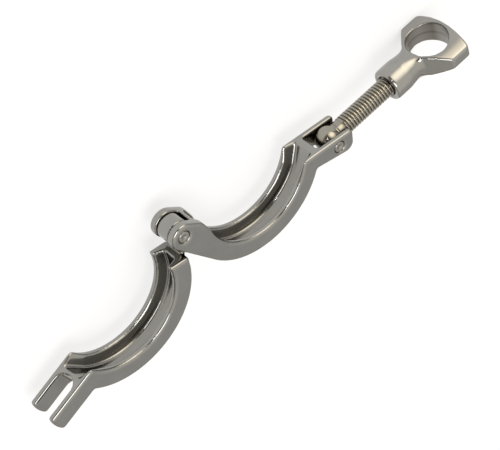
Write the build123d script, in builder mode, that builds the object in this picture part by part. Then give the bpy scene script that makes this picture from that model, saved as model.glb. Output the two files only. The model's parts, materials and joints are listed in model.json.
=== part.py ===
from build123d import *
import os
from math import cos, sin, tan, radians

os.makedirs("parts", exist_ok=True)

# Sanitary hinged clamp for a 50.5 mm flange pair. Millimetres, +Z is the bore axis.
# The origin is the bore centre of the bolt half, at mid thickness.
# +X runs along its parting line, from the hinge towards the bolt.
# Both halves are drawn closed about their bore centres; the fork half is then swung open.

# ---- segments ----
thickness = 13.4          # both halves, flat face to flat face
lip_r = 23.4              # inner radius of the two lips
wall = 8.2                # thickness of the segments, lip to outside
groove_depth = 4.4        # flange groove, below the lips
groove_open = 8.8         # groove width at the lips
groove_angle = 20.0       # slope of each groove wall
parting_gap = 4.5         # end face of each half to the plane through the hinge
flare_w = 1.2             # the groove's extra width at its ends, each side
flare_angle = 26.0        # the flare has run out this far above the parting plane
flare_sink = 1.1          # the groove's extra depth at its ends
edge = 0.45               # broken edge of the flat faces' rims
lip_end_r = 1.6           # rounding where each lip meets the parting face

# ---- hinge ----
hinge_out = 3.3           # hinge pin beyond the outside of the segments
hinge_pin_d = 5.0
pin_recess = 0.2          # each pin end, below the flat faces
pin_edge = 0.3            # broken edge of both pins' ends
ear_wall = 3.1            # around the hinge pin
ear_root = 40.0           # angle below the parting plane where the ears leave the segment
ear_lobe_x = 5.4          # inner lobe of the ears, from the hinge pin
ear_lobe_y = -2.3
ear_lobe_r = 4.5
knuckle_wall = 2.6        # around the hinge pin
knuckle_w = 6.4
knuckle_room = 0.3        # knuckle to the bottom of the slot between the ears
knuckle_side = 0.15       # knuckle to each ear
tongue_rise = 8.0         # height of the tongue's straight inner side
tongue_root = 27.7        # angle above the parting plane where the tongue meets the segment
tongue_out = 24.7         # the same for its outer side
tongue_side = 37.0        # where the tongue's outer side leaves the knuckle, beyond the pin
tongue_sink = 0.4         # the tongue's root, inside the segment
shoulder_y = 5.5          # height of the fork half's shoulder at the lip
shoulder_lean = 30.3      # slope of that shoulder
open_angle = 207.4        # how far the hinge stands open

# ---- bolt lug ----
bolt_pin_out = 9.4        # bolt pin beyond the outside of the segments
bolt_pin_down = 4.7       # bolt pin below the parting face
bolt_pin_d = 4.8
lug_past_pin = 7.2        # end of the lug, beyond the bolt pin
lug_below_pin = 5.2       # lowest point of the lug
lug_rise = 2.5            # how much the lug's underside rises towards the segment
eye_room = 3.7            # behind the bolt's eye, in the slot
lug_top_r = 1.6
lug_low_r = 3.6

# ---- fork ----
prong_past_pin = 6.3      # end of the prongs, beyond the shut bolt's axis
prong_bulge = 0.8         # how far the prong tips bow out
prong_depth = 13.6
prong_r = 1.0             # rounding of the tips' corners
fork_slot_in = 1.9        # bottom of the slot, inside the segments' outer radius

# ---- swing bolt ----
eye_r = 5.4
eye_extra = 0.1           # width of the eye beyond the rod's
rod_d = 7.9
rod_edge = 0.8            # broken edge of the rod's end
rod_end = 42.0            # rod end, from the bolt pin
bolt_angle = 10.5         # how far the bolt leans out of the parting line

# ---- wing nut ----
nut_start = 31.9          # boss face, from the bolt pin
nut_turn = 90.5           # turn of the wing about the bolt
boss_wall = 2.95          # around the rod
boss_len = 9.0            # full-size part of the boss
boss_fade = 15.5          # where the boss has sunk into the wing
mouth = 0.9               # countersink of the nut's thread
wing_side = 5.75          # beside the hole, at each tip
wing_t = 11.8             # thickness in the middle
wing_tip_t = 5.2          # thickness at the two tips
wing_bridge = 1.5         # ring around the hole, at the far end
wing_bulge = 1.6          # how far the far end bows out beyond the tips
tip_len = 9.2             # length of each tip
tip_r = 1.6               # rounding of the wing's corners
neck_w = 7.4              # width of the wing where it leaves the boss
neck_len = 10.3           # where the wing begins to spread
flank_r = 7.5             # hollow between the neck and each flank
flank_lean = 47.0         # slope of each flank
wing_hole_d = 17.0

# ---- fits ----
fit_gap = 0.05            # radial clearance of every turning or sliding fit
eye_side = 0.3            # eye to each side of the lug's slot
rod_side = 0.25           # rod to each prong
overcut = 2.0             # how far a cut starts outside the metal

# ---- places that follow from these ----
half_t = thickness / 2
outer_r = lip_r + wall
wall_r = lip_r + wall / 2
slope = tan(radians(groove_angle))
groove_r = lip_r + groove_depth
groove_half = groove_open / 2
floor_half = groove_half - groove_depth * slope
open_r = lip_r - overcut  # where the groove's cutting profile starts
open_half = groove_half + overcut * slope
reach = 2 * outer_r       # longer than either half, for tools that cut right through

hinge_r = outer_r + hinge_out
pin_x = -hinge_r
ear_r = hinge_pin_d / 2 + ear_wall
knuckle_r = hinge_pin_d / 2 + knuckle_wall
ear_slot = knuckle_w + 2 * knuckle_side
slot_from_pin = knuckle_r + knuckle_room

bolt_pin_x = outer_r + bolt_pin_out
bolt_pin_y = -(parting_gap + bolt_pin_down)
eye_w = rod_d + eye_extra
lug_end_x = bolt_pin_x + lug_past_pin
lug_bottom = bolt_pin_y - lug_below_pin
lug_slot = eye_w + 2 * eye_side
lug_slot_end_x = bolt_pin_x - eye_r - eye_room
prong_end_x = bolt_pin_x + prong_past_pin
fork_slot = rod_d + 2 * rod_side
fork_slot_end_x = outer_r - fork_slot_in

boss_d = rod_d + 2 * boss_wall
wing_hole_at = boss_fade + wing_hole_d / 2
wing_end = wing_hole_at + wing_hole_d / 2 + wing_bridge
wing_w = wing_hole_d + 2 * wing_side


def groove_profile(plane, inner_r, inner_half, bottom_r, bottom_half):
    """The flange groove's cross-section: x is the distance from the bore axis, y the height."""
    with BuildSketch(plane) as profile:
        with BuildLine():
            Polyline(
                (inner_r, inner_half),
                (bottom_r, bottom_half),
                (bottom_r, -bottom_half),
                (inner_r, -inner_half),
                close=True,
            )
        make_face()
    return profile.sketch


def flare_sections(base, side, height, angle):
    """The groove's flared end: wide on the end face, plain where the flare has run out.

    side is +1 for the half above the parting plane of base and -1 for the one below it.
    """
    end_plane = Plane(
        origin=base.from_local_coords((0, side * height, 0)),
        x_dir=base.x_dir,
        z_dir=-base.y_dir,
    )
    run_out = base.rotated((0, 0, side * angle))
    deep_plane = Plane(origin=base.origin, x_dir=run_out.x_dir, z_dir=-run_out.y_dir)
    wide = groove_profile(
        end_plane,
        open_r,
        open_half + flare_w,
        groove_r + flare_sink,
        floor_half + flare_w + flare_sink * slope,
    )
    plain = groove_profile(deep_plane, open_r, open_half, groove_r, floor_half)
    return [wide, plain]


# ---- bolt half: lug with the swing bolt at one end, two ears at the other ----
with BuildSketch() as ear_shape:
    with Locations((pin_x, 0)):
        Circle(ear_r)
    with Locations((pin_x + ear_lobe_x, ear_lobe_y)):
        Circle(ear_lobe_r)
    with Locations((-wall_r * cos(radians(ear_root)), -wall_r * sin(radians(ear_root)))):
        Circle(wall / 2)
    make_hull()
    Circle(lip_r, mode=Mode.SUBTRACT)

with BuildSketch() as lug_shape:
    with BuildLine():
        Polyline(
            (lip_r, -parting_gap),
            (lug_end_x, -parting_gap),
            (lug_end_x, lug_bottom),
            (lip_r + wall / 2, lug_bottom + lug_rise),
            (lip_r + wall / 4, lug_bottom + lug_rise),
            close=True,
        )
    make_face()
    fillet(lug_shape.vertices().sort_by_distance((lug_end_x, -parting_gap))[0], radius=lug_top_r)
    fillet(lug_shape.vertices().sort_by_distance((lug_end_x, lug_bottom))[0], radius=lug_low_r)

main_groove = groove_profile(Plane.XZ, open_r, open_half, groove_r, floor_half)
bolt_half_flare = flare_sections(Plane.XY, -1, parting_gap, flare_angle)

with BuildPart() as bolt_half:
    with BuildSketch() as bolt_half_outline:
        Circle(outer_r)
        Circle(lip_r, mode=Mode.SUBTRACT)
        # keep the arc between the ears and the parting face
        with BuildLine():
            Polyline(
                (0, 0),
                (-reach * cos(radians(ear_root)), -reach * sin(radians(ear_root))),
                (-reach, -reach),
                (reach, -reach),
                (reach, -parting_gap),
                (0, -parting_gap),
                close=True,
            )
        make_face(mode=Mode.INTERSECT)
        add(ear_shape.sketch)
        add(lug_shape.sketch)
        fillet(bolt_half_outline.vertices().sort_by_distance((lip_r, -parting_gap))[0], radius=lip_end_r)
    extrude(amount=half_t, both=True)
    flat_faces = bolt_half.faces().sort_by(Axis.Z)
    chamfer(flat_faces[-1].edges() + flat_faces[0].edges(), length=edge)
    revolve(main_groove, axis=Axis.Z, revolution_arc=360, mode=Mode.SUBTRACT)
    loft(sections=bolt_half_flare, ruled=True, mode=Mode.SUBTRACT)
    # gap between the ears
    with BuildSketch() as ear_gap:
        with Locations((pin_x + slot_from_pin, ear_r + overcut)):
            Rectangle(reach, reach, align=(Align.MAX, Align.MAX))
    extrude(amount=ear_slot / 2, both=True, mode=Mode.SUBTRACT)
    # slot for the swing bolt, open towards the end and both sides of the lug
    with Locations((lug_slot_end_x, -parting_gap + overcut, 0)):
        Box(reach, reach, lug_slot, align=(Align.MIN, Align.MAX, Align.CENTER), mode=Mode.SUBTRACT)
    # pin holes, pressed fits
    with Locations((pin_x, 0, 0)):
        Cylinder(hinge_pin_d / 2, thickness + overcut, mode=Mode.SUBTRACT)
    with Locations((bolt_pin_x, bolt_pin_y, 0)):
        Cylinder(bolt_pin_d / 2, thickness + overcut, mode=Mode.SUBTRACT)

# ---- fork half: open fork for the bolt at one end, knuckle at the other ----
# its own bore centre and directions, swung about the hinge pin
fork_plane = Plane(
    origin=(pin_x + hinge_r * cos(radians(open_angle)), hinge_r * sin(radians(open_angle)), 0),
    x_dir=(cos(radians(open_angle)), sin(radians(open_angle)), 0),
    z_dir=(0, 0, 1),
)
fork_section = Plane(origin=fork_plane.origin, x_dir=fork_plane.x_dir, z_dir=-fork_plane.y_dir)
fork_groove = groove_profile(fork_section, open_r, open_half, groove_r, floor_half)
fork_half_flare = flare_sections(fork_plane, 1, parting_gap, flare_angle)
shoulder_rise = tan(radians(shoulder_lean))
tongue_r = outer_r - tongue_sink

with BuildSketch() as fork_shape:
    with BuildLine():
        Polyline(
            (lip_r, parting_gap),
            (prong_end_x - prong_bulge, parting_gap),
        )
        ThreePointArc(
            (prong_end_x - prong_bulge, parting_gap),
            (prong_end_x, (parting_gap + prong_depth) / 2),
            (prong_end_x - prong_bulge, prong_depth),
        )
        Polyline(
            (prong_end_x - prong_bulge, prong_depth),
            (lip_r + 1, prong_depth),
            (lip_r, parting_gap),
        )
    make_face()
    fillet(fork_shape.vertices().sort_by(Axis.X)[-2:], radius=prong_r)

with BuildPart() as fork_half:
    with BuildSketch(fork_plane) as fork_half_outline:
        Circle(outer_r)
        Circle(lip_r, mode=Mode.SUBTRACT)
        # keep the arc between the parting face and the shoulder above the knuckle
        with BuildLine():
            Polyline(
                (0, parting_gap),
                (reach, parting_gap),
                (reach, reach),
                (-reach, reach),
                (-reach, shoulder_y + (reach - lip_r) * shoulder_rise),
                (-lip_r, shoulder_y),
                (-lip_r / 2, shoulder_y - lip_r / 2 * shoulder_rise),
                close=True,
            )
        make_face(mode=Mode.INTERSECT)
        add(fork_shape.sketch)
        fillet(fork_half_outline.vertices().sort_by_distance((lip_r, parting_gap))[0], radius=lip_end_r)
    extrude(amount=half_t, both=True)
    flat_faces = fork_half.faces().sort_by(Axis.Z)
    chamfer(flat_faces[-1].edges() + flat_faces[0].edges(), length=edge)
    # knuckle and the tongue that carries it
    with BuildSketch(fork_plane) as knuckle_outline:
        with Locations((pin_x, 0)):
            Circle(knuckle_r)
        with BuildLine():
            Polyline(
                (pin_x + knuckle_r, 0),
                (pin_x + knuckle_r, tongue_rise),
                (-tongue_r * cos(radians(tongue_root)), tongue_r * sin(radians(tongue_root))),
                (-tongue_r * cos(radians(tongue_out)), tongue_r * sin(radians(tongue_out))),
                (pin_x - knuckle_r * cos(radians(tongue_side)), knuckle_r * sin(radians(tongue_side))),
                (pin_x, 0),
                close=True,
            )
        make_face()
    extrude(amount=knuckle_w / 2, both=True)
    revolve(fork_groove, axis=Axis(fork_plane.origin, (0, 0, 1)), revolution_arc=360, mode=Mode.SUBTRACT)
    loft(sections=fork_half_flare, ruled=True, mode=Mode.SUBTRACT)
    # round-bottomed slot between the two prongs
    with BuildSketch(Plane(origin=fork_plane.origin, x_dir=fork_plane.x_dir, z_dir=fork_plane.y_dir)):
        with Locations((fork_slot_end_x + fork_slot / 2, 0)):
            Circle(fork_slot / 2)
            Rectangle(reach, fork_slot, align=(Align.MIN, Align.CENTER))
    extrude(amount=2 * prong_depth, mode=Mode.SUBTRACT)
    with Locations((pin_x, 0, 0)):
        Cylinder(hinge_pin_d / 2 + fit_gap, thickness, mode=Mode.SUBTRACT)

# ---- pins ----
with BuildPart() as hinge_pin:
    with Locations((pin_x, 0, 0)):
        Cylinder(hinge_pin_d / 2, thickness - 2 * pin_recess)
    chamfer(hinge_pin.edges().filter_by(GeomType.CIRCLE), length=pin_edge)

with BuildPart() as bolt_pin:
    with Locations((bolt_pin_x, bolt_pin_y, 0)):
        Cylinder(bolt_pin_d / 2, thickness - 2 * pin_recess)
    chamfer(bolt_pin.edges().filter_by(GeomType.CIRCLE), length=pin_edge)

# ---- swing bolt, along its own axis from the bolt pin ----
bolt_dir = Vector(cos(radians(bolt_angle)), sin(radians(bolt_angle)), 0)
side_dir = Vector(-sin(radians(bolt_angle)), cos(radians(bolt_angle)), 0)
bolt_plane = Plane(origin=(bolt_pin_x, bolt_pin_y, 0), x_dir=(0, 0, 1), z_dir=bolt_dir)

with BuildPart() as swing_bolt:
    # ball eye with two flats
    with Locations((bolt_pin_x, bolt_pin_y, 0)):
        Sphere(eye_r)
        Box(4 * eye_r, 4 * eye_r, eye_w, mode=Mode.INTERSECT)
    with BuildSketch(bolt_plane):
        Circle(rod_d / 2)
    extrude(amount=rod_end)
    chamfer(swing_bolt.faces().sort_by(Axis((0, 0, 0), bolt_dir))[-1].edges(), length=rod_edge)
    with Locations((bolt_pin_x, bolt_pin_y, 0)):
        Cylinder(bolt_pin_d / 2 + fit_gap, thickness, mode=Mode.SUBTRACT)

# ---- wing nut ----
face_dir = Vector(0, 0, 1) * cos(radians(nut_turn)) + side_dir * sin(radians(nut_turn))
nut_origin = Vector(bolt_pin_x, bolt_pin_y, 0) + bolt_dir * nut_start
nut_plane = Plane(origin=nut_origin, x_dir=bolt_dir, z_dir=face_dir)
boss_plane = Plane(origin=nut_origin, x_dir=nut_plane.y_dir, z_dir=bolt_dir)
tip_end = wing_end - wing_bulge
tip_start = tip_end - tip_len
crown = (wing_t - wing_tip_t) / 2
crown_r = (wing_w ** 2 / 4 + crown ** 2) / (2 * crown)

with BuildSketch() as wing_shape:
    with BuildLine():
        flank = JernArc((neck_len, neck_w / 2), tangent=(1, 0), radius=flank_r, arc_size=flank_lean)
        upper = Polyline((tip_end, wing_w / 2), (tip_start, wing_w / 2), flank @ 1)
        inner = Polyline((neck_len, neck_w / 2), (boss_len / 2, neck_w / 2), (boss_len / 2, 0))
        mirror((flank, upper, inner), about=Plane.XZ)
        ThreePointArc((tip_end, wing_w / 2), (wing_end, 0), (tip_end, -wing_w / 2))
    make_face()
    fillet(wing_shape.vertices().sort_by(Axis.X)[-4:], radius=tip_r)

with BuildPart() as wing_nut:
    with BuildSketch(nut_plane):
        add(wing_shape.sketch)
    extrude(amount=wing_t, both=True)
    # lens-shaped section: both faces are crowned from tip to tip
    with BuildSketch(boss_plane) as crown_shape:
        with Locations((0, wing_t / 2 - crown_r)):
            Circle(crown_r)
        with Locations((0, crown_r - wing_t / 2)):
            Circle(crown_r, mode=Mode.INTERSECT)
    extrude(amount=2 * wing_end, mode=Mode.INTERSECT)
    # boss, sinking into the wing
    with BuildSketch(nut_plane):
        with BuildLine():
            Polyline(
                (0, 0),
                (0, boss_d / 2 - 2 * edge),
                (edge / 2, boss_d / 2 - edge / 2),
                (2 * edge, boss_d / 2),
                (boss_len, boss_d / 2),
                (boss_fade, wing_t / 2 - 0.1),
                (boss_fade, 0),
                close=True,
            )
        make_face()
    revolve(axis=Axis(nut_origin, bolt_dir), revolution_arc=360)
    with BuildSketch(nut_plane):
        with Locations((wing_hole_at, 0)):
            Circle(wing_hole_d / 2)
    extrude(amount=wing_t, both=True, mode=Mode.SUBTRACT)
    with BuildSketch(boss_plane):
        Circle(rod_d / 2 + fit_gap)
    extrude(amount=wing_hole_at, mode=Mode.SUBTRACT)
    thread_mouth = wing_nut.edges().filter_by(GeomType.CIRCLE).sort_by(Axis(nut_origin, bolt_dir))
    chamfer(thread_mouth.sort_by_distance(nut_origin)[0], length=mouth)

for shape, name in (
    (bolt_half, "bolt_half"),
    (fork_half, "fork_half"),
    (hinge_pin, "hinge_pin"),
    (bolt_pin, "bolt_pin"),
    (swing_bolt, "swing_bolt"),
    (wing_nut, "wing_nut"),
):
    shape.part.label = name

export_step(bolt_half.part, "parts/bolt_half.step")
export_step(fork_half.part, "parts/fork_half.step")
export_step(hinge_pin.part, "parts/hinge_pin.step")
export_step(bolt_pin.part, "parts/bolt_pin.step")
export_step(swing_bolt.part, "parts/swing_bolt.step")
export_step(wing_nut.part, "parts/wing_nut.step")
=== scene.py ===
import json
import math

import bmesh
import bpy
from mathutils import Matrix, Vector


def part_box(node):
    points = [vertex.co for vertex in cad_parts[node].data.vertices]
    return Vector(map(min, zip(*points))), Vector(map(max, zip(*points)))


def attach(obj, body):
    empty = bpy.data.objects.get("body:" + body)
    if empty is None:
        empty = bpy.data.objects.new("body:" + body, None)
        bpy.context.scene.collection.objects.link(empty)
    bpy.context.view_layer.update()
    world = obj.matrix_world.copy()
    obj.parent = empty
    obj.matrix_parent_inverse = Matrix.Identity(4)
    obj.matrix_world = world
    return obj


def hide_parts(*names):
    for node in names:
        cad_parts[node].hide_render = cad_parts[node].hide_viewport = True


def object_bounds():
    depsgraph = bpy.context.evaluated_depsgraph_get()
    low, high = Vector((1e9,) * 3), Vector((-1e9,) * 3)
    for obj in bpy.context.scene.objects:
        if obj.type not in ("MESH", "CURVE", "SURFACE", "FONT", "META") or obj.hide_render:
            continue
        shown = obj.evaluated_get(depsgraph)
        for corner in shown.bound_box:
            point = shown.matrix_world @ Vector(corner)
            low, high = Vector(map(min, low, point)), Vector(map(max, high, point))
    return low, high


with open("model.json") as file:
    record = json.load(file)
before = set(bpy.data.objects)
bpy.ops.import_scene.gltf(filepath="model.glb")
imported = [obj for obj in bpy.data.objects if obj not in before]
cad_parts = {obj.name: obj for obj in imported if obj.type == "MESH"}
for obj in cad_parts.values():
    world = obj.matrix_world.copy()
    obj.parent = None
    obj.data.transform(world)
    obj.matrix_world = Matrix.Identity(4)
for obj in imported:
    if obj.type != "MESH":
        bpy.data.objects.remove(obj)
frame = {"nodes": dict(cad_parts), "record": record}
cad_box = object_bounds()
nodes = frame["nodes"]
joints = {j["name"]: j for j in frame["record"]["behaviour"]["joints"]}
mounts = {m["name"]: m for m in frame["record"]["mounts"]}

MM = 0.001
UP = Vector((0, 0, 1))
scene = bpy.context.scene
scene.view_settings.view_transform = "Standard"

# ------------------------------------------------------------------ camera
CAMERA_AT = Vector((-0.276038, 0.458692, 0.389405))
CAMERA_AIM = Vector((-0.001129, -0.023926, 0.0))
CAMERA_ROLL = math.radians(126.379)
CAMERA_LENS = 129.6          # on a 36 mm sensor, across the picture's width

camera_data = bpy.data.cameras.new("camera")
camera_data.lens = CAMERA_LENS
camera_data.sensor_width = 36.0
camera_data.clip_start = 0.01
camera_data.clip_end = 10.0
camera = bpy.data.objects.new("camera", camera_data)
aim = (CAMERA_AIM - CAMERA_AT).to_track_quat("-Z", "Y").to_matrix().to_4x4()
camera.matrix_world = Matrix.Translation(CAMERA_AT) @ aim @ Matrix.Rotation(CAMERA_ROLL, 4, "Z")
scene.collection.objects.link(camera)
scene.camera = camera

# ------------------------------------------------------------------ sizes of the added pieces, mm
FIT_GAP = 0.05               # radial clearance of the turning fits, as in the CAD

# the bolt, measured along its rod from the bolt pin
THREAD_PITCH = 25.4 / 18     # 5/16-18 thread
THREAD_DEPTH = 0.62
CREST = 0.30                 # flat part of the thread's crest, as a share of half a pitch
NECK_START = 4.6             # plain neck between the bolt's eye and its thread
NECK_END = 6.6
NECK_CUT = 0.25              # depth of the neck below the thread's crest
END_BEVEL = 0.8              # broken edge of the rod's end
EYE_EDGE = 30                # edges of the eye that turn by more degrees than this stay crisp
ROD_SIDES = 48
TURN_RINGS = 14              # rings of vertices in one turn of the thread

# the two halves and the nut, rounded as castings are by tumbling
HALF_VOXEL = 0.34            # grid that the rounded form is built on
HALF_ROUNDING = 26           # smoothing passes
NUT_VOXEL = 0.28
NUT_ROUNDING = 60
CORNER_ALONG = 43.7          # corners between the nut's boss and its wing, from the bolt pin
CORNER_OUT = 5.8             # and to each side of the bolt
CORNER_REACHES = (5.2, 4.4, 3.6, 2.8)
CORNER_PASSES = 40           # smoothing passes at each reach

# the pins' ends
DIMPLE_R = 1.45              # punched dimple in the middle
DIMPLE_DEPTH = 0.60
DIMPLE_LIP = 0.25            # flat ring round the dimple
DIMPLE_STEPS = 6
RIM_R = 0.55                 # rounding of the rim
RIM_STEPS = 5
PIN_SIDES = 56

# ------------------------------------------------------------------ looks of the steel
CLOUD_SCALE = 110.0          # noises, from coarse to fine, in waves a metre
MOTTLE_SCALE = 900.0
FINE_SCALE = 1600.0
DULL = 0.88                  # shares of the steel's own tint
BRIGHT = 1.22
# SHADE is the share of the tint in painted shade: in hollows, and on the wall of the nut's hole
SHADE = (0.40, 0.37, 0.32)
SPECKS = 0.10                # strength of the bright specks
# the brown of painted shade in narrow corners, and of a painted dark reflection line along the
# nut's parting ridge
SHADE_BROWN = (0.09, 0.075, 0.055, 1.0)
CORNER_SHADE_REACH = 1.6            # mm; corners narrower than this turn dull and get painted brown shade
SHADE_REACH = 9.0           # mm; hollows narrower than this get a little painted shade
HOLE_SKIN = (0.10, 0.45)     # mm outside the hole's radius, where the cast look and its painted shade fade out
RIDGE_W = 0.9                # mm, half width of the painted dark reflection line along the parting ridge inside the nut's hole

# ------------------------------------------------------------------ light of the studio
FLOOR_HALF = 2.5             # m, half the width of the floor
FLOOR_COLOUR = (0.30, 0.30, 0.30, 1.0)
FLOOR_GLOW = 0.68            # with the light on the floor, this adds up to about white
WALLS = [                    # colour of the room, from the horizon to straight above
    (0.0, (0.22, 0.19, 0.15, 1.0)),
    (0.14, (0.45, 0.41, 0.35, 1.0)),
    (0.30, (0.74, 0.72, 0.68, 1.0)),
    (0.58, (0.70, 0.70, 0.69, 1.0)),
    (0.80, (1.05, 1.02, 0.96, 1.0)),
    (1.0, (1.10, 1.06, 0.98, 1.0)),
]
# a direction, the cosines between which a patch of the room fades in, and its colour
DARK_SIDE = (Vector((-0.42, 0.69, 0.59)), (0.82, 0.93), (0.16, 0.15, 0.135, 1.0))
WINDOW = (Vector((0.36, 0.84, 0.40)), (0.84, 1.0), (3.4, 3.15, 2.65, 1.0))


# ------------------------------------------------------------------ node helpers
class Graph:
    """A short way to write shader nodes."""

    def __init__(self, tree):
        self.tree = tree
        tree.nodes.clear()

    def add(self, kind, props=None, **inputs):
        """A node; an input is given by its name, or as i0, i1 and so on by its number."""
        node = self.tree.nodes.new(kind)
        for key, value in (props or {}).items():
            setattr(node, key, value)
        for key, value in inputs.items():
            numbered = key[0] == "i" and key[1:].isdigit()
            socket = node.inputs[int(key[1:]) if numbered else key.replace("_", " ")]
            if isinstance(value, bpy.types.NodeSocket):
                self.tree.links.new(value, socket)
            else:
                socket.default_value = value
        return node

    def math(self, operation, a, b=0.0, clamp=False):
        props = {"operation": operation, "use_clamp": clamp}
        return self.add("ShaderNodeMath", props, i0=a, i1=b).outputs[0]

    def ramp(self, factor, stops):
        node = self.add("ShaderNodeValToRGB", i0=factor)
        elements = node.color_ramp.elements
        while len(elements) < len(stops):
            elements.new(0.5)
        for element, (at, colour) in zip(elements, stops):
            element.position = at
            element.color = colour
        return node.outputs[0]

    def span(self, value, low, high, start=0.25, end=0.75):
        """A value that runs from start to end, spread between low and high and held there.

        A noise runs from about 0.25 to 0.75.
        """
        node = self.add("ShaderNodeMapRange", i0=value, i1=start, i2=end, i3=low, i4=high)
        return node.outputs[0]

    def noise(self, vector, scale, detail, rough):
        node = self.add(
            "ShaderNodeTexNoise", Vector=vector, Scale=scale, Detail=detail, Roughness=rough
        )
        return node.outputs[0]

    def mix(self, factor, a, b):
        node = self.add("ShaderNodeMix", {"data_type": "RGBA"}, i0=factor, i6=a, i7=b)
        return node.outputs[2]

    def vector(self, operation, a, **inputs):
        return self.add("ShaderNodeVectorMath", {"operation": operation}, i0=a, **inputs)

    def dot(self, a, b):
        return self.vector("DOT_PRODUCT", a, i1=b).outputs["Value"]

    def openness(self, reach):
        """1 in the open, less where the surface faces metal nearer than reach, in mm."""
        node = self.add("ShaderNodeAmbientOcclusion", {"samples": 4}, Distance=reach * MM)
        return node.outputs["AO"]


def hole_masks(g, coords, centre, axis, radius):
    """Where the wall of a hole is, for painted shade, and the parting ridge round the middle of
    it, for a painted dark reflection line.
    """
    arm = g.vector("SUBTRACT", coords, i1=tuple(centre)).outputs[0]
    depth = g.dot(arm, tuple(axis))
    length = g.vector("LENGTH", arm).outputs["Value"]
    squares = g.math("MULTIPLY", length, length), g.math("MULTIPLY", depth, depth)
    across = g.math("SQRT", g.math("SUBTRACT", *squares))
    wall = g.span(across, 1.0, 0.0, *(radius + skin * MM for skin in HOLE_SKIN))
    ridge = g.span(g.math("ABSOLUTE", depth), 1.0, 0.0, 0.0, RIDGE_W * MM)
    return wall, g.math("MULTIPLY", ridge, wall)


def steel(name, tint, rough, edge, shade_depth, hole=None):
    """Polished stainless steel: cloudy, mottled, bright on worn edges, dull with painted brown
    shade in its corners.

    edge is how far its edges are worn, in mm; the argument after it sets how much painted shade
    darkens its hollows.
    hole is the centre, axis and radius of a hole left as it was cast, with its parting ridge; its
    wall gets painted shade and its ridge a painted dark reflection line.
    """
    material = bpy.data.materials.new(name)
    material.use_nodes = True
    g = Graph(material.node_tree)
    coords = g.add("ShaderNodeTexCoord").outputs["Object"]
    cloud = g.noise(coords, CLOUD_SCALE, 4.0, 0.6)
    mottle = g.noise(coords, MOTTLE_SCALE, 4.0, 0.7)
    fine = g.noise(coords, FINE_SCALE, 3.0, 0.6)

    # worn edges: where the rounded normal has turned away from the surface's own
    bevel = g.add("ShaderNodeBevel", {"samples": 8}, Radius=edge * MM).outputs[0]
    geometry = g.add("ShaderNodeNewGeometry")
    worn = g.math("SUBTRACT", 1.0, g.dot(bevel, geometry.outputs["Normal"]), clamp=True)
    worn = g.math("MULTIPLY", worn, 3.0, clamp=True)
    worn = g.math("MULTIPLY", worn, g.span(fine, 0.4, 1.0), clamp=True)

    # painted shade: narrow corners dull and rougher, with painted brown shade; wide hollows a
    # little painted shade
    dull_and_shade = g.math("SUBTRACT", 1.0, g.openness(CORNER_SHADE_REACH), clamp=True)
    dull_and_shade = g.math("MULTIPLY", dull_and_shade, g.span(cloud, 0.35, 0.7), clamp=True)
    hollow_shade = g.span(g.openness(SHADE_REACH), 1.0, 0.0, 0.25, 1.0)
    hollow_shade = g.math("MULTIPLY", hollow_shade, shade_depth, clamp=True)
    specks = g.math("MULTIPLY", g.span(mottle, 0.0, 1.0, 0.55, 0.75), SPECKS, clamp=True)

    base = tuple(tint) + (1.0,)
    dull = tuple(c * DULL for c in tint) + (1.0,)
    bright = tuple(c * BRIGHT for c in tint) + (1.0,)
    shade = tuple(c * s for c, s in zip(tint, SHADE)) + (1.0,)
    # colour: cloudy tone, specks, painted shade in hollows, worn edges, and painted brown shade in
    # narrow corners
    colour = g.mix(g.span(cloud, 0.0, 1.0), dull, base)
    colour = g.mix(specks, colour, bright)
    colour = g.mix(hollow_shade, colour, shade)
    colour = g.mix(worn, colour, bright)
    colour = g.mix(dull_and_shade, colour, SHADE_BROWN)

    roughness = g.span(mottle, rough - 0.03, rough + 0.05)
    roughness = g.math("ADD", roughness, g.span(cloud, -0.02, 0.03))
    roughness = g.math("ADD", roughness, g.math("MULTIPLY", dull_and_shade, 0.30))
    roughness = g.math("SUBTRACT", roughness, g.math("MULTIPLY", worn, 0.05), clamp=True)
    # inside the hole: painted shade on its wall, which is also rougher, and a painted dark
    # reflection line along its parting ridge
    if hole:
        wall, ridge = hole_masks(g, coords, *hole)
        colour = g.mix(g.math("MULTIPLY", wall, 0.30), colour, shade)
        colour = g.mix(g.math("MULTIPLY", ridge, 0.5), colour, SHADE_BROWN)
        roughness = g.math("ADD", roughness, g.math("MULTIPLY", wall, 0.22), clamp=True)

    relief = g.math("ADD", g.math("MULTIPLY", mottle, 0.5), g.math("MULTIPLY", fine, 0.5))
    normal = bevel
    # a fine relief and a wide ripple, with their heights in mm
    for strength, depth, height in ((0.14, 0.012, relief), (0.25, 0.06, cloud)):
        amount = {"Strength": strength, "Distance": depth * MM}
        normal = g.add("ShaderNodeBump", Height=height, Normal=normal, **amount).outputs[0]
    shader = g.add(
        "ShaderNodeBsdfPrincipled",
        Metallic=1.0,
        Base_Color=colour,
        Roughness=roughness,
        Normal=normal,
    )
    g.add("ShaderNodeOutputMaterial", Surface=shader.outputs[0])
    return material


# ------------------------------------------------------------------ materials
ring = mounts["wing_hole"]
ring_hole = (Vector(ring["pos_m"]), Vector(ring["axis"]).normalized(), ring["dims"]["r_mm"] * MM)
cast = steel("cast_steel", (0.315, 0.308, 0.290), 0.12, edge=0.3, shade_depth=0.55)
cast_nut = steel("cast_nut_steel", (0.335, 0.326, 0.306), 0.15, edge=0.5, shade_depth=0.3, hole=ring_hole)
turned = steel("turned_steel", (0.33, 0.31, 0.265), 0.14, edge=0.08, shade_depth=0.45)
pin_steel = steel("pin_steel", (0.33, 0.32, 0.298), 0.14, edge=0.25, shade_depth=0.45)

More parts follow.
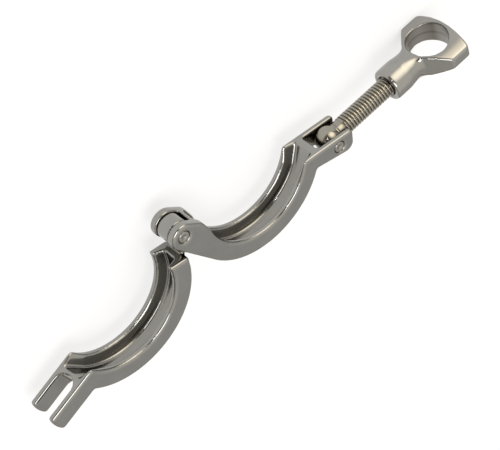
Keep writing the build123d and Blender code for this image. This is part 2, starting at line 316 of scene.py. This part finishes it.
# ------------------------------------------------------------------ where the bolt and pins are
hinge_at = Vector(joints["clamp_hinge"]["pos_m"])
bolt_at = Vector(joints["bolt_swing"]["pos_m"])
bolt_dir = Vector(joints["nut_travel"]["axis"]).normalized()
bolt_side = UP.cross(bolt_dir)
bolt_frame = Matrix((
    (bolt_dir.x, bolt_side.x, 0, bolt_at.x),
    (bolt_dir.y, bolt_side.y, 0, bolt_at.y),
    (0, 0, 1, 0),
    (0, 0, 0, 1),
))
bolt_points = [v.co - bolt_at for v in nodes["swing_bolt"].data.vertices]
rod_end = max(p.dot(bolt_dir) for p in bolt_points)
rod_r = max(
    (p - bolt_dir * p.dot(bolt_dir)).length
    for p in bolt_points
    if p.dot(bolt_dir) > rod_end / 2
)


# ------------------------------------------------------------------ pieces
def new_piece(name, bm, material, body, node):
    """A mesh that rides on a body and stands for a CAD node."""
    mesh = bpy.data.meshes.new(name)
    bm.to_mesh(mesh)
    bm.free()
    mesh.shade_smooth()
    mesh.materials.append(material)
    piece = bpy.data.objects.new(name, mesh)
    scene.collection.objects.link(piece)
    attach(piece, body)
    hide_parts(node)


def tube(bm, rings):
    """Faces between neighbouring rings of vertices; the first and last ring stay open."""
    for a, b in zip(rings, rings[1:]):
        for k in range(len(a)):
            n = (k + 1) % len(a)
            bm.faces.new((a[k], a[n], b[n], b[k]))


def thread_cut(turn):
    """Depth of the thread at a place in its turn: 0 on its flat crest, 1 in its rounded root."""
    t = abs(2 * (turn % 1) - 1)
    flank = min(1.0, max(0.0, (t - CREST) / (1 - CREST)))
    return (1 - math.cos(math.pi * flank)) / 2


def rod_radius(x, turn):
    """Radius of the neck and the thread in mm, x mm from the pin and part of a turn round."""
    full = rod_r / MM
    # the neck is about as thick as the thread's middle; the thread starts within one pitch
    run_in = min(1.0, max(0.0, (x - NECK_END) / THREAD_PITCH))
    cut = THREAD_DEPTH * thread_cut(x / THREAD_PITCH - turn)
    at_end = max(0.0, END_BEVEL - (rod_end / MM - x))
    return min(full - cut * run_in - NECK_CUT * (1 - run_in), full - at_end)


def make_swing_bolt():
    """The ball eye kept from the CAD, a plain neck, and a cut thread along the rod."""
    bm = bmesh.new()
    bm.from_mesh(nodes["swing_bolt"].data)
    bmesh.ops.remove_doubles(bm, verts=bm.verts, dist=0.001 * MM)
    for e in bm.edges:
        e.smooth = e.calc_face_angle(math.pi) < math.radians(EYE_EDGE)
    bm.transform(bolt_frame.inverted())
    bmesh.ops.bisect_plane(
        bm,
        geom=bm.verts[:] + bm.edges[:] + bm.faces[:],
        plane_co=(NECK_START * MM, 0, 0),
        plane_no=(1, 0, 0),
        clear_outer=True,
    )
    length = rod_end / MM - NECK_START
    count = int(length / (THREAD_PITCH / TURN_RINGS))
    rings = []
    for i in range(count + 1):
        x = NECK_START + length * i / count
        ring = []
        for k in range(ROD_SIDES):
            turn = k / ROD_SIDES
            angle = math.tau * turn
            r = rod_radius(x, turn) * MM
            ring.append(bm.verts.new((x * MM, r * math.cos(angle), r * math.sin(angle))))
        rings.append(ring)
    tube(bm, rings)
    bm.faces.new(rings[-1])
    bmesh.ops.bridge_loops(bm, edges=[e for e in bm.edges if e.is_boundary])
    bmesh.ops.recalc_face_normals(bm, faces=bm.faces)
    bm.transform(bolt_frame)
    new_piece("threaded_swing_bolt", bm, turned, "swing_bolt", "swing_bolt")


def pin_size(node):
    """Radius and half length of a pin."""
    low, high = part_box(node)
    return (high[0] - low[0]) / 2, (high[2] - low[2]) / 2


def make_pin(name, node, at):
    """A turned pin with rounded rims and a punched dimple in each end, where it was staked."""
    r, half = pin_size(node)
    # outline of one end, from the dimple out: distance from the axis, and depth below the end
    outline = []
    for i in range(1, DIMPLE_STEPS + 1):
        a = i / DIMPLE_STEPS
        depth = DIMPLE_DEPTH * MM * (1 + math.cos(math.pi * a)) / 2
        outline.append((DIMPLE_R * MM * a, depth))
    outline.append(((DIMPLE_R + DIMPLE_LIP) * MM, 0.0))
    for i in range(RIM_STEPS + 1):
        a = math.radians(90 * i / RIM_STEPS)
        outline.append((r - RIM_R * MM * (1 - math.sin(a)), RIM_R * MM * (1 - math.cos(a))))
    profile = [(d, half - h) for d, h in outline] + [(d, h - half) for d, h in outline[::-1]]
    bm = bmesh.new()
    rings = []
    for d, z in profile:
        ring = []
        for k in range(PIN_SIDES):
            angle = math.tau * k / PIN_SIDES
            ring.append(bm.verts.new((at.x + d * math.cos(angle), at.y + d * math.sin(angle), z)))
        rings.append(ring)
    tube(bm, rings)
    bottom = half - DIMPLE_DEPTH * MM
    for ring, z in ((rings[0], bottom), (rings[-1], -bottom)):
        tip = bm.verts.new((at.x, at.y, z))
        for k in range(PIN_SIDES):
            bm.faces.new((tip, ring[k], ring[(k + 1) % PIN_SIDES]))
    bmesh.ops.recalc_face_normals(bm, faces=bm.faces)
    new_piece(name, bm, pin_steel, "bolt_half", node)


def soften(bm, at):
    """Blend the corner where the boss and a flank of the wing meet, most at its middle."""
    axes = {"use_axis_x": True, "use_axis_y": True, "use_axis_z": True}
    for reach in CORNER_REACHES:
        close = [v for v in bm.verts if (v.co - at).cross(bolt_side).length < reach * MM]
        for _ in range(CORNER_PASSES):
            bmesh.ops.smooth_vert(bm, verts=close, factor=0.5, **axes)


def open_bore(bm, at, axis, radius):
    """Rounding narrows a bore: put its wall, which faces the axis, back at its true radius."""
    bm.normal_update()
    for v in bm.verts:
        out = v.co - at
        out -= axis * out.dot(axis)
        if 0 < out.length < radius and v.normal.dot(out.normalized()) < -0.5:
            v.co += out.normalized() * (radius - out.length)


def cast_form(name, node, material, voxel, passes, bores, corners=()):
    """A piece as it was cast and tumbled: the CAD's form with its edges and corners rounded."""
    form = bpy.data.objects.new("form", nodes[node].data.copy())
    scene.collection.objects.link(form)
    remesh = form.modifiers.new("remesh", "REMESH")
    remesh.mode = "VOXEL"
    remesh.voxel_size = voxel * MM
    smooth = form.modifiers.new("smooth", "SMOOTH")
    smooth.factor = 0.5
    smooth.iterations = passes
    shape = form.evaluated_get(bpy.context.evaluated_depsgraph_get())
    bm = bmesh.new()
    bm.from_mesh(shape.to_mesh())
    shape.to_mesh_clear()
    bpy.data.objects.remove(form)
    for at in corners:
        soften(bm, at)
    for at, axis, radius in bores:
        open_bore(bm, at, axis, radius)
    new_piece(name, bm, material, node, node)


hinge_bore = (hinge_at, UP, pin_size("hinge_pin")[0] + FIT_GAP * MM)
bolt_bore = (bolt_at, UP, pin_size("bolt_pin")[0])
thread_bore = (bolt_at, bolt_dir, rod_r + FIT_GAP * MM)
corner = bolt_at + bolt_dir * CORNER_ALONG * MM
corners = [corner + UP * CORNER_OUT * MM, corner - UP * CORNER_OUT * MM]
half_grid = (HALF_VOXEL, HALF_ROUNDING)
nut_grid = (NUT_VOXEL, NUT_ROUNDING)
cast_form("cast_bolt_half", "bolt_half", cast, *half_grid, [hinge_bore, bolt_bore])
cast_form("cast_fork_half", "fork_half", cast, *half_grid, [hinge_bore])
cast_form("cast_wing_nut", "wing_nut", cast_nut, *nut_grid, [thread_bore], corners)
make_pin("staked_hinge_pin", "hinge_pin", hinge_at)
make_pin("staked_bolt_pin", "bolt_pin", bolt_at)
make_swing_bolt()

# ------------------------------------------------------------------ floor
floor_material = bpy.data.materials.new("pale_floor")
floor_material.use_nodes = True
g = Graph(floor_material.node_tree)
diffuse = g.add("ShaderNodeBsdfDiffuse", Color=FLOOR_COLOUR)
glow = g.add("ShaderNodeEmission", Color=(1.0, 1.0, 1.0, 1.0), Strength=FLOOR_GLOW)
nothing = g.add("ShaderNodeEmission", Strength=0.0)
path = g.add("ShaderNodeLightPath")
seen = g.math("MAXIMUM", path.outputs["Is Camera Ray"], path.outputs["Is Glossy Ray"])
seen = g.math("MAXIMUM", seen, path.outputs["Is Transmission Ray"])
extra = g.add("ShaderNodeMixShader", i0=seen, i1=nothing.outputs[0], i2=glow.outputs[0])
both = g.add("ShaderNodeAddShader", i0=diffuse.outputs[0], i1=extra.outputs[0])
g.add("ShaderNodeOutputMaterial", Surface=both.outputs[0])

floor_z = cad_box[0][2]
floor_square = [(-1, -1), (1, -1), (1, 1), (-1, 1)]
floor_mesh = bpy.data.meshes.new("floor")
floor_mesh.from_pydata(
    [(x * FLOOR_HALF, y * FLOOR_HALF, floor_z) for x, y in floor_square], [], [(0, 1, 2, 3)]
)
floor_mesh.materials.append(floor_material)
floor = bpy.data.objects.new("floor", floor_mesh)
scene.collection.objects.link(floor)

# ------------------------------------------------------------------ studio
world = bpy.data.worlds.new("studio")
scene.world = world
world.use_nodes = True
g = Graph(world.node_tree)
way = g.add("ShaderNodeTexCoord").outputs["Generated"]
room = g.ramp(g.add("ShaderNodeSeparateXYZ", i0=way).outputs[2], WALLS)
# the unlit side that the photographer stands on, and a wide cream window, low down
for at, edge, colour in (DARK_SIDE, WINDOW):
    room = g.mix(g.span(g.dot(way, tuple(at.normalized())), 0.0, 1.0, *edge), room, colour)
background = g.add("ShaderNodeBackground", Color=room, Strength=1.0)
g.add("ShaderNodeOutputWorld", Surface=background.outputs[0])


def lamp(name, at, size, power, colour=(1.0, 1.0, 1.0)):
    """A square lamp that faces the origin."""
    data = bpy.data.lights.new(name, "AREA")
    data.shape = "SQUARE"
    data.size = size
    data.energy = power
    data.color = colour
    obj = bpy.data.objects.new(name, data)
    turn = (-Vector(at)).to_track_quat("-Z", "Y").to_matrix().to_4x4()
    obj.matrix_world = Matrix.Translation(at) @ turn
    scene.collection.objects.link(obj)


lamp("key", (-0.55, 0.30, 1.10), 0.7, 7.0)
lamp("flash", (-0.42, 0.66, 0.45), 0.06, 0.5, (0.93, 0.92, 1.0))
